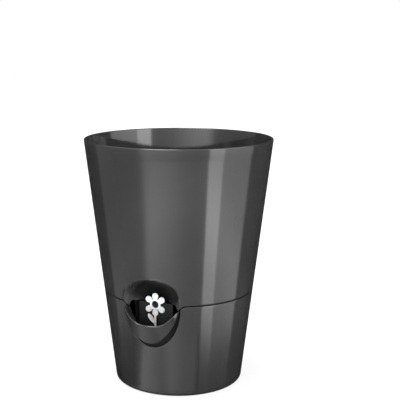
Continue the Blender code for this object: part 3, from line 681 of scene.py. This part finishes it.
def make_flower_stem(finish):
    """Stem with its foot on the float's arm, the leaf and the lowest petal."""
    skin = Skin()
    front = -FLOWER_BACK - FLOWER_THICK
    pillow(skin, *petal(PETAL_COUNT // 2), front + LOW_PETAL_SET, PETAL_CUP)
    turn = np.linspace(0.0, math.tau, 41)[:-1]
    along = LEAF_LENGTH / 2 * (1 - np.cos(turn))
    across = LEAF_WIDTH / 2 * np.sin(turn) * (0.75 + 0.35 * along / LEAF_LENGTH)
    x = -along * math.sin(LEAF_ANGLE) + across * math.cos(LEAF_ANGLE)
    z = LEAF_ROOT + along * math.cos(LEAF_ANGLE) + across * math.sin(LEAF_ANGLE)
    middle = (-LEAF_LENGTH / 2 * math.sin(LEAF_ANGLE), LEAF_ROOT + LEAF_LENGTH / 2 * math.cos(LEAF_ANGLE))
    pillow(skin, x, z, middle, front + LEAF_SET, LEAF_CUP)
    turn = np.linspace(0.0, math.tau, 21)[:-1]
    middle_y = -FLOWER_BACK - FLOWER_THICK / 2

    def bar(levels):
        """Upright bar with rounded corners through levels of (height, half width, half depth)."""
        rings = []
        for z, half_width, half_depth in levels:
            px = half_width * np.sign(np.cos(turn)) * np.abs(np.cos(turn)) ** 0.6
            py = middle_y + half_depth * np.sign(np.sin(turn)) * np.abs(np.sin(turn)) ** 0.6
            rings.append(np.stack([px, py, np.full_like(px, z)], -1))
        skin.stack(np.array(rings))

    half = STEM_WIDTH / 2
    foot = STEM_FOOT_WIDTH / 2
    bar([(ARM_BASE + 0.5, half, 0.5), (FLOWER_HEIGHT - HUB_RADIUS - 1, half * 0.85, 0.45)])
    bar([(ARM_BASE, foot - 0.3, 0.3), (ARM_BASE + 0.3, foot, 0.6), (ARM_TOP, foot, 0.6),
         (ARM_TOP + 0.8, foot - 0.5, 0.5), (ARM_TOP + 1.4, half, 0.4)])
    return skin.build("daisy_stem", finish)


def felt_wave(x, y):
    """Slow unevenness of a needled felt, in millimetres."""
    return 0.16 * np.sin(x / 9.7 + 0.8) * np.sin(y / 12.3) + 0.1 * np.sin((x + 1.7 * y) / 5.3)


def make_mat(finish):
    """Felt disc with a rolled, slightly uneven edge and a slot for each wick. Its plan is a net of points on
    a hexagonal pattern, tied to the outlines of the disc and the slots."""
    turn = np.linspace(0.0, math.tau, 181)[:-1]
    ragged = MAT_RADIUS - MAT_DRAWN_IN + 0.12 * np.sin(turn * 23) + 0.08 * np.sin(turn * 57 + 1)
    half_long = WICK_WIDTH / 2 + SLOT_GAP
    half_wide = WICK_THICK / 2 + SLOT_GAP
    loops = [np.stack([ragged * np.cos(turn), ragged * np.sin(turn)], -1)]
    along = np.linspace(-1, 1, 13)[:-1]
    across = np.linspace(-1, 1, 4)[:-1]
    half_slot = np.concatenate([
        np.stack([np.full(len(along), -half_wide), along * half_long], -1),
        np.stack([across * half_wide, np.full(len(across), half_long)], -1),
    ])
    slot = np.concatenate([half_slot, -half_slot])
    loops += [slot + (side * WICK_OFFSET, 0.0) for side in (-1, 1)]
    count = int(MAT_RADIUS / NET_STEP) + 1
    i, j = np.meshgrid(np.arange(-count, count + 1), np.arange(-count, count + 1))
    net = np.stack([(i + 0.5 * (j % 2)) * NET_STEP, j * NET_STEP * math.sqrt(0.75)], -1).reshape(-1, 2)
    inside = np.hypot(net[:, 0], net[:, 1]) < MAT_RADIUS - NET_MARGIN
    beside = np.abs(np.abs(net[:, 0]) - WICK_OFFSET) < half_wide + NET_SLOT_MARGIN
    net = net[inside & ~(beside & (np.abs(net[:, 1]) < half_long + NET_SLOT_MARGIN))]
    points = np.concatenate(loops + [net])
    edges, start = [], 0
    for loop in loops:
        index = np.arange(len(loop)) + start
        edges += list(zip(index.tolist(), np.roll(index, -1).tolist()))
        start += len(loop)
    flat, _, faces, *_ = delaunay_2d_cdt([Vector(point) for point in points], edges, [], 1, 1e-5)
    flat = np.array([(point.x, point.y) for point in flat])
    centres = np.array([flat[face].mean(0) for face in faces])
    cut = (np.abs(np.abs(centres[:, 0]) - WICK_OFFSET) < half_wide) & (np.abs(centres[:, 1]) < half_long)
    faces = [face for face, in_slot in zip(faces, cut) if not in_slot]
    to_slot = np.hypot(
        np.maximum(np.abs(np.abs(flat[:, 0]) - WICK_OFFSET) - half_wide, 0),
        np.maximum(np.abs(flat[:, 1]) - half_long, 0))
    to_edge = np.minimum(MAT_RADIUS - MAT_DRAWN_IN - np.hypot(flat[:, 0], flat[:, 1]), to_slot)
    drawn_in = MAT_EDGE_DROP * (1 - smooth_step(to_edge / MAT_EDGE_RUN)) ** 2
    wave = felt_wave(flat[:, 0], flat[:, 1]) * smooth_step(to_edge / 4)
    high = MAT_LOW + MAT_THICK - MAT_PRESSED + wave - drawn_in
    low = np.full(len(flat), MAT_LOW) + drawn_in * 0.5
    skin = Skin()
    skin.points = [np.column_stack([flat, high]), np.column_stack([flat, low])]
    skin.marks = [np.zeros(2 * len(flat))]
    skin.faces = [list(face) for face in faces] + [[k + len(flat) for k in reversed(face)] for face in faces]
    sides = Counter(frozenset(pair) for face in faces for pair in zip(face, [*face[1:], face[0]]))
    outline = [tuple(pair) for pair, used in sides.items() if used == 1]
    skin.faces += [[a, b, b + len(flat), a + len(flat)] for a, b in outline]
    return skin.build("felt_mat", finish)


def make_wick(side, finish):
    """Felt strip that comes up through its slot and lies over the mat. Its edges are soft and it hangs
    unevenly."""
    low = WICK_FOOT
    lying = MAT_LOW + MAT_THICK + WICK_LIFT + WICK_THICK / 2
    bend = WICK_THICK
    straight = np.linspace(low, lying - bend, 46)
    turn = np.linspace(0.0, math.pi / 2, 9)[1:]
    end = WICK_OFFSET + WICK_THICK / 2 - WICK_TAB
    along = np.linspace(WICK_OFFSET - bend, end, 14)[1:]
    x = np.concatenate([np.full(46, WICK_OFFSET), WICK_OFFSET - bend * (1 - np.cos(turn)), along])
    z = np.concatenate([straight, lying - bend * (1 - np.sin(turn)), np.full(13, lying)])
    hanging = smooth_step((MAT_LOW - WICK_WAVE_START - z) / WICK_WAVE_RUN)
    x = x + hanging * (0.35 * np.sin(z / 8.5 + side) + 0.2 * np.sin(z / 3.9))
    line = np.stack([x, z], -1)
    run = np.gradient(line, axis=0)
    run /= np.linalg.norm(run, axis=1, keepdims=True)
    out = np.stack([run[:, 1], -run[:, 0]], -1)
    turn = np.linspace(0.0, math.tau, 33)[:-1]
    across = np.sign(np.cos(turn)) * np.abs(np.cos(turn)) ** 0.25 * WICK_WIDTH / 2
    thick = np.sign(np.sin(turn)) * np.abs(np.sin(turn)) ** 0.6 * (WICK_THICK / 2 - 0.05)
    rings = []
    for k, ((px, pz), (ox, oz)) in enumerate(zip(line, out)):
        narrow = 1 - 0.02 * (1 + math.sin(k * 1.3 + side)) - (0.05 if k in (0, len(line) - 1) else 0.0)
        y = across * narrow + 0.25 * hanging[k] * math.sin(k / 6)
        rings.append(np.stack([side * (px + thick * ox), y, pz + thick * oz], -1))
    skin = Skin()
    skin.stack(np.array(rings))
    length = np.linalg.norm(np.diff(line, axis=0), axis=1).sum()
    return skin.build("felt_wick_" + ("left" if side < 0 else "right"), finish), length * MM


def eased(name, node_name, finish, width):
    """Copy of a CAD node with its edges rounded over, for a moulded or cut piece."""
    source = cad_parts[node_name]
    bm = bmesh.new()
    bm.from_mesh(source.data)
    bmesh.ops.remove_doubles(bm, verts=bm.verts, dist=0.01 * MM)
    bmesh.ops.dissolve_limit(bm, angle_limit=math.radians(1), verts=bm.verts, edges=bm.edges)
    mesh = bpy.data.meshes.new(name)
    bm.to_mesh(mesh)
    bm.free()
    mesh.shade_smooth()
    mesh.set_sharp_from_angle(angle=SHARP)
    mesh.materials.append(finish)
    piece = bpy.data.objects.new(name, mesh)
    bpy.context.scene.collection.objects.link(piece)
    bevel = piece.modifiers.new("edges", "BEVEL")
    bevel.width = width * MM
    bevel.segments = 3
    bevel.limit_method = "ANGLE"
    bevel.angle_limit = SHARP
    bevel.harden_normals = True
    return piece


def colour(hex_text):
    """sRGB hex to linear."""
    parts = np.array([int(hex_text[i:i + 2], 16) for i in (1, 3, 5)]) / 255
    return (*np.where(parts <= 0.04045, parts / 12.92, ((parts + 0.055) / 1.055) ** 2.4), 1.0)


def fill(tree, target, inputs):
    """Set a node's inputs. A socket given as the value is linked, and so is a node, by its first output in
    use."""
    for key, value in inputs.items():
        if isinstance(value, bpy.types.Node):
            value = next(output for output in value.outputs if output.enabled)
        if isinstance(value, bpy.types.NodeSocket):
            tree.links.new(value, target.inputs[key])
        else:
            target.inputs[key].default_value = value


def node(tree, kind, inputs=None, **settings):
    """Add a node with its settings and links."""
    made = tree.nodes.new(kind)
    for key, value in settings.items():
        setattr(made, key, value)
    fill(tree, made, inputs or {})
    return made


def finish_of(name, base, rough, **constants):
    """A material with these constants. Returns it with its tree, its shader and the point on the piece."""
    made = bpy.data.materials.new(name)
    made.use_nodes = True
    tree = made.node_tree
    shader = tree.nodes["Principled BSDF"]
    fill(tree, shader, {"Base Color": colour(base), "Roughness": rough})
    fill(tree, shader, {key.replace("_", " "): value for key, value in constants.items()})
    return made, tree, shader, node(tree, "ShaderNodeTexCoord").outputs["Object"]


def abs_polished():
    """Anthracite ABS from a polished mould. The gloss mirrors the softboxes. Faint orange peel breaks the
    mirror up, and the flow of the melt shows as slow changes in the shine. The back of the niche and the
    groove round the pocket are made dull, with less mirror, and their colour is painted dark as shade."""
    made, tree, shader, point = finish_of("abs_polished_anthracite", "#282828", 0.07, IOR=1.54)
    # The mark makes the surface dull, with less mirror, and paints its colour dark as shade
    matt_shade = node(tree, "ShaderNodeAttribute", attribute_name="matt_shade").outputs["Fac"]
    drawn = node(tree, "ShaderNodeMapping", {"Vector": point, "Scale": (1.0, 1.0, 0.45)})
    flow = node(tree, "ShaderNodeTexNoise", {"Vector": drawn, "Scale": 1 / (17.0 * MM), "Detail": 3.0})
    gloss = node(tree, "ShaderNodeMapRange", {"Value": flow, **NOISE_SPAN, "To Min": 0.05, "To Max": 0.085})
    rough = node(tree, "ShaderNodeMix", {"Factor": matt_shade, "A": gloss, "B": 0.5}, data_type="FLOAT")
    mirror = node(tree, "ShaderNodeMix", {"Factor": matt_shade, "A": 0.5, "B": 0.12}, data_type="FLOAT")
    cloud = node(tree, "ShaderNodeTexNoise", {"Vector": point, "Scale": 1 / (30.0 * MM)})
    share = node(tree, "ShaderNodeMapRange", {"Value": cloud, **NOISE_SPAN})
    tint = node(tree, "ShaderNodeMix", {
        "Factor": share, "A": colour("#262626"), "B": colour("#2a2a2b")}, data_type="RGBA")
    dark = node(tree, "ShaderNodeMix", {"Factor": matt_shade, "A": tint, "B": colour("#161616")}, data_type="RGBA")
    peel = node(tree, "ShaderNodeTexNoise", {"Vector": point, "Scale": 1 / (2.2 * MM), "Detail": 1.0})
    waves = node(tree, "ShaderNodeBump", {"Height": peel, "Strength": 1.0, "Distance": 0.006 * MM})
    fine = node(tree, "ShaderNodeTexNoise", {"Vector": point, "Scale": 1 / (0.35 * MM)})
    relief = node(tree, "ShaderNodeBump", {
        "Height": fine, "Strength": 1.0, "Distance": 0.0016 * MM, "Normal": waves})
    fill(tree, shader, {
        "Base Color": dark, "Roughness": rough, "Specular IOR Level": mirror, "Normal": relief})
    return made


def pp_white():
    """White polypropylene from a satin mould. Light enters it a little way, so its shadows are soft. Its
    lower petals are painted greyer towards the stem, as painted shade."""
    made, tree, shader, point = finish_of(
        "pp_white_satin", "#eeeeec", 0.34, Subsurface_Weight=0.25, Subsurface_Scale=0.001, IOR=1.49)
    # Colour painted greyer by height towards the stem, as painted shade
    height = node(tree, "ShaderNodeSeparateXYZ", {0: point}).outputs["Z"]
    full = node(tree, "ShaderNodeMapRange", {
        "Value": height, "From Min": PETAL_SHADE_FULL * MM, "From Max": PETAL_SHADE_GONE * MM})
    tint = node(tree, "ShaderNodeMix", {
        "Factor": full, "A": colour("#cfcfcd"), "B": colour("#eeeeec")}, data_type="RGBA")
    cloud = node(tree, "ShaderNodeTexNoise", {"Vector": point, "Scale": 1 / (3.0 * MM)})
    rough = node(tree, "ShaderNodeMapRange", {"Value": cloud, **NOISE_SPAN, "To Min": 0.28, "To Max": 0.4})
    fine = node(tree, "ShaderNodeTexNoise", {"Vector": point, "Scale": 1 / (0.22 * MM)})
    relief = node(tree, "ShaderNodeBump", {"Height": fine, "Strength": 1.0, "Distance": 0.006 * MM})
    fill(tree, shader, {"Base Color": tint, "Roughness": rough, "Normal": relief})
    return made


def pp_white_shaded():
    """The same white polypropylene, its colour painted greyer as shade for the stem, the leaf and the lowest
    petal.
    """
    made, tree, shader, point = finish_of(
        "pp_white_painted_shade", "#d0d0ce", 0.38, Subsurface_Weight=0.4, Subsurface_Scale=0.0015, IOR=1.49)
    patches = node(tree, "ShaderNodeTexNoise", {"Vector": point, "Scale": 1 / (2.4 * MM)})
    rough = node(tree, "ShaderNodeMapRange", {"Value": patches, **NOISE_SPAN, "To Min": 0.32, "To Max": 0.46})
    cloud = node(tree, "ShaderNodeTexNoise", {"Vector": point, "Scale": 1 / (4.0 * MM)})
    share = node(tree, "ShaderNodeMapRange", {"Value": cloud, **NOISE_SPAN})
    # These greys are painted shade in place of the head's white, varying at random in patches
    tint = node(tree, "ShaderNodeMix", {
        "Factor": share, "A": colour("#c9c9c7"), "B": colour("#d8d8d6")}, data_type="RGBA")
    fine = node(tree, "ShaderNodeTexNoise", {"Vector": point, "Scale": 1 / (0.22 * MM)})
    relief = node(tree, "ShaderNodeBump", {"Height": fine, "Strength": 1.0, "Distance": 0.006 * MM})
    fill(tree, shader, {"Base Color": tint, "Roughness": rough, "Normal": relief})
    return made


def abs_textured():
    """Black ABS from a spark-eroded mould: an even dull grain that takes the shine off the housing."""
    made, tree, shader, point = finish_of("abs_spark_eroded_black", "#131314", 0.55, Specular_IOR_Level=0.3)
    grain = node(tree, "ShaderNodeTexNoise", {
        "Vector": point, "Scale": 1 / (0.28 * MM), "Detail": 3.0, "Roughness": 0.65})
    rough = node(tree, "ShaderNodeMapRange", {"Value": grain, **NOISE_SPAN, "To Min": 0.46, "To Max": 0.66})
    cloud = node(tree, "ShaderNodeTexNoise", {"Vector": point, "Scale": 1 / (9.0 * MM)})
    share = node(tree, "ShaderNodeMapRange", {"Value": cloud, **NOISE_SPAN})
    tint = node(tree, "ShaderNodeMix", {
        "Factor": share, "A": colour("#111112"), "B": colour("#151516")}, data_type="RGBA")
    relief = node(tree, "ShaderNodeBump", {"Height": grain, "Strength": 1.0, "Distance": 0.045 * MM})
    fill(tree, shader, {"Base Color": tint, "Roughness": rough, "Normal": relief})
    return made


def pp_grey():
    """Grey polypropylene from a satin mould. Faint streaks of the melt run across its plate."""
    made, tree, shader, point = finish_of("pp_grey_satin", "#494a4b", 0.4, IOR=1.49)
    drawn = node(tree, "ShaderNodeMapping", {"Vector": point, "Scale": (0.25, 1.0, 1.0)})
    streak = node(tree, "ShaderNodeTexNoise", {"Vector": drawn, "Scale": 1 / (5.0 * MM), "Detail": 3.0})
    rough = node(tree, "ShaderNodeMapRange", {"Value": streak, **NOISE_SPAN, "To Min": 0.33, "To Max": 0.48})
    share = node(tree, "ShaderNodeMapRange", {"Value": streak, **NOISE_SPAN})
    tint = node(tree, "ShaderNodeMix", {
        "Factor": share, "A": colour("#454647"), "B": colour("#4e4f50")}, data_type="RGBA")
    fine = node(tree, "ShaderNodeTexNoise", {"Vector": point, "Scale": 1 / (0.5 * MM)})
    relief = node(tree, "ShaderNodeBump", {"Height": fine, "Strength": 1.0, "Distance": 0.012 * MM})
    fill(tree, shader, {"Base Color": tint, "Roughness": rough, "Normal": relief})
    return made


def foam_beaded():
    """Closed-cell foam: pressed beads with a fine line between them."""
    made, tree, shader, point = finish_of("foam_closed_cell", "#ecebe6", 0.68)
    beads = node(tree, "ShaderNodeTexVoronoi", {
        "Vector": point, "Scale": 1 / (2.1 * MM)}, feature="DISTANCE_TO_EDGE")
    line = node(tree, "ShaderNodeMapRange", {"Value": beads, "From Min": 0.0, "From Max": 0.14})
    tint = node(tree, "ShaderNodeMix", {
        "Factor": line, "A": colour("#cfcdc6"), "B": colour("#f0efea")}, data_type="RGBA")
    pressed = node(tree, "ShaderNodeBump", {"Height": line, "Strength": 1.0, "Distance": 0.1 * MM})
    fine = node(tree, "ShaderNodeTexNoise", {"Vector": point, "Scale": 1 / (0.3 * MM)})
    relief = node(tree, "ShaderNodeBump", {
        "Height": fine, "Strength": 1.0, "Distance": 0.02 * MM, "Normal": pressed})
    fill(tree, shader, {"Base Color": tint, "Normal": relief})
    return made


def felt_needled():
    """Needled polyester felt. Fibres of two greys cross each other, tufts rise between the needle marks, and
    a sheen of loose fibre ends lightens its edges."""
    made, tree, shader, point = finish_of(
        "felt_needled_grey", "#8f8b83", 0.95, Sheen_Weight=0.35, Sheen_Roughness=0.6, Specular_IOR_Level=0.2)
    runs = []
    for stretch in ((0.22, 1.0, 1.0), (1.0, 0.22, 0.3)):
        drawn = node(tree, "ShaderNodeMapping", {"Vector": point, "Scale": stretch})
        runs.append(node(tree, "ShaderNodeTexNoise", {
            "Vector": drawn, "Scale": 1 / (0.32 * MM), "Detail": 3.0, "Roughness": 0.6}))
    fibres = node(tree, "ShaderNodeMath", {0: runs[0], 1: runs[1]}, operation="MAXIMUM")
    lit = node(tree, "ShaderNodeMapRange", {
        "Value": fibres, "From Min": 0.42, "From Max": 0.72, "To Max": 0.8})
    cloud = node(tree, "ShaderNodeTexNoise", {"Vector": point, "Scale": 1 / (6.0 * MM)})
    uneven = node(tree, "ShaderNodeMapRange", {"Value": cloud, **NOISE_SPAN, "To Min": -0.1, "To Max": 0.25})
    share = node(tree, "ShaderNodeMath", {0: lit, 1: uneven}, operation="ADD")
    tint = node(tree, "ShaderNodeMix", {
        "Factor": share, "A": colour("#75716a"), "B": colour("#a8a399")}, data_type="RGBA")
    tuft = node(tree, "ShaderNodeTexNoise", {"Vector": point, "Scale": 1 / (1.8 * MM)})
    tufts = node(tree, "ShaderNodeBump", {"Height": tuft, "Strength": 1.0, "Distance": 0.25 * MM})
    relief = node(tree, "ShaderNodeBump", {
        "Height": fibres, "Strength": 1.0, "Distance": 0.16 * MM, "Normal": tufts})
    fill(tree, shader, {"Base Color": tint, "Normal": relief})
    return made


def floor_pale():
    """Pale sweep. It mostly glows white for the camera, so that it fades into the backdrop, and keeps the
    part of its shading that shows the pot's shadow."""
    made = bpy.data.materials.new("floor_white_sweep")
    made.use_nodes = True
    tree = made.node_tree
    tree.nodes.clear()
    camera_ray = node(tree, "ShaderNodeLightPath").outputs["Is Camera Ray"]
    plain = node(tree, "ShaderNodeBsdfDiffuse", {"Color": (0.8, 0.8, 0.8, 1.0)})
    seen = node(tree, "ShaderNodeBsdfDiffuse", {"Color": (0.25, 0.25, 0.25, 1.0)})
    glow = node(tree, "ShaderNodeEmission", {"Color": (1.0, 1.0, 1.0, 1.0), "Strength": 0.75})
    both = node(tree, "ShaderNodeAddShader", {0: seen, 1: glow})
    mix = node(tree, "ShaderNodeMixShader", {0: camera_ray, 1: plain, 2: both})
    node(tree, "ShaderNodeOutputMaterial", {0: mix})
    return made


def ramp(tree, value, stops, largest):
    """A curve through (place, height) stops, for a value and places from 0 to 1."""
    made = node(tree, "ShaderNodeValToRGB", {"Fac": value})
    band = made.color_ramp
    for place_at, _ in stops[1:-1]:
        band.elements.new(place_at)
    for stop, (_, height) in zip(band.elements, stops):
        stop.color = (*[height / largest] * 3, 1.0)
    return node(tree, "ShaderNodeMath", {0: made, 1: largest}, operation="MULTIPLY")


def make_light():
    """Studio as the shells mirror it: brightness round the horizon, shaded towards the floor and the ceiling.
    The camera itself sees plain white."""
    world = bpy.data.worlds.new("studio")
    bpy.context.scene.world = world
    world.use_nodes = True
    tree = world.node_tree
    tree.nodes.clear()
    towards = node(tree, "ShaderNodeTexCoord").outputs["Generated"]
    part = node(tree, "ShaderNodeSeparateXYZ", {0: towards})
    front = node(tree, "ShaderNodeMath", {0: part.outputs["Y"], 1: -1.0}, operation="MULTIPLY")
    angle = node(tree, "ShaderNodeMath", {0: part.outputs["X"], 1: front}, operation="ARCTAN2")
    turn = node(tree, "ShaderNodeMapRange", {"Value": angle, "From Min": -math.pi, "From Max": math.pi})
    lift = node(tree, "ShaderNodeMapRange", {"Value": part.outputs["Z"], "From Min": -1.0, "From Max": 1.0})

    def round_at(value, stops, largest=1.0):
        """Curve over the degrees round the horizon."""
        return ramp(tree, value, [(0.5 + degrees / 360, height) for degrees, height in stops], largest)

    def at_height(value, stops):
        """Curve over the sine of the angle above the horizon."""
        return ramp(tree, value, [(0.5 + height / 2, share) for height, share in stops], 1.0)

    leaned = node(tree, "ShaderNodeMath", {
        0: round_at(turn, LEFT_SIDE), 1: at_height(lift, LEFT_LEAN), 2: turn}, operation="MULTIPLY_ADD")
    raised = node(tree, "ShaderNodeMath", {
        0: round_at(turn, FEET_RISE), 1: -0.5, 2: lift}, operation="MULTIPLY_ADD")
    ended = node(tree, "ShaderNodeMath", {
        0: round_at(leaned, PANELS), 1: at_height(raised, PANEL_FEET)}, operation="MULTIPLY")
    shaded = node(tree, "ShaderNodeMath", {
        0: round_at(leaned, HORIZON, LIGHTEST), 1: at_height(lift, SHADE)}, operation="MULTIPLY")
    left_over = node(tree, "ShaderNodeMath", {0: 1.0, 1: ended}, operation="SUBTRACT")
    walls = node(tree, "ShaderNodeMath", {0: shaded, 1: left_over}, operation="MULTIPLY")
    lamp = node(tree, "ShaderNodeVectorMath", {0: towards, 1: LAMP_TOWARDS}, operation="DOT_PRODUCT")
    near = node(tree, "ShaderNodeMapRange", {
        "Value": lamp, "From Min": LAMP_EDGE[0], "From Max": LAMP_EDGE[1]})
    above = node(tree, "ShaderNodeMath", {0: near, 1: LAMP, 2: OVERHEAD}, operation="MULTIPLY_ADD")
    light = node(tree, "ShaderNodeMix", {
        "Factor": at_height(lift, CEILING), "A": walls, "B": above}, data_type="FLOAT")
    white = (1.0, 1.0, 1.0, 1.0)
    lit = node(tree, "ShaderNodeBackground", {"Color": white, "Strength": light})
    seen = node(tree, "ShaderNodeBackground", {"Color": white, "Strength": 1.0})
    camera_ray = node(tree, "ShaderNodeLightPath").outputs["Is Camera Ray"]
    mix = node(tree, "ShaderNodeMixShader", {0: camera_ray, 1: lit, 2: seen})
    node(tree, "ShaderNodeOutputWorld", {0: mix})


def make_studio():
    """Floor, light and camera."""
    scene = bpy.context.scene
    scene.view_settings.view_transform = "Standard"
    mesh = bpy.data.meshes.new("floor")
    corners = np.array([(-1, -1, 0), (1, -1, 0), (1, 1, 0), (-1, 1, 0)]) * FLOOR_REACH
    mesh.from_pydata((corners - np.array([0, 0, FLOOR_DROP])) * MM, [], [[0, 1, 2, 3]])
    mesh.materials.append(floor_pale())
    floor = bpy.data.objects.new("floor", mesh)
    floor.visible_glossy = False
    scene.collection.objects.link(floor)
    make_light()

    camera = bpy.data.cameras.new("camera")
    camera.sensor_width = CAMERA_SENSOR
    camera.lens = CAMERA_LENS
    camera.shift_x = CAMERA_SHIFT
    view = bpy.data.objects.new("camera", camera)
    scene.collection.objects.link(view)
    view.location = (
        CAMERA_AWAY * math.sin(CAMERA_TURN), -CAMERA_AWAY * math.cos(CAMERA_TURN), CAMERA_HEIGHT)
    view.rotation_euler = (math.pi / 2 - CAMERA_PITCH, 0.0, CAMERA_TURN)
    scene.camera = view


shell = abs_polished()
grey = pp_grey()
felt = felt_needled()
place(make_planter(shell), "planter", "shell", "planter_shell")
place(make_reservoir(shell), "reservoir", "shell", "reservoir_shell")
place(eased("guide_housing", "float_guide", abs_textured(), EDGE), "reservoir", "guide", "float_guide")
place(eased("gauge_clip", "float_clip", grey, EDGE), "float", "tray", "float_clip")
place(eased("gauge_float", "float_block", foam_beaded(), FOAM_EDGE), "float", "foam", "float_block")
place(make_flower_head(pp_white()), "float", "flower", "level_flower")
place(make_flower_stem(pp_white_shaded()), "float", "flower", "level_flower")
tray = place(eased("wick_tray", "plant_stand", grey, EDGE), "insert", "tray", "plant_stand")
mat = place(make_mat(felt), "insert", "felt", "wick_mat")
for side, node_name in ((-1, "wick_left"), (1, "wick_right")):
    wick, length = make_wick(side, felt)
    place(wick, "insert", "felt", node_name)
make_studio()
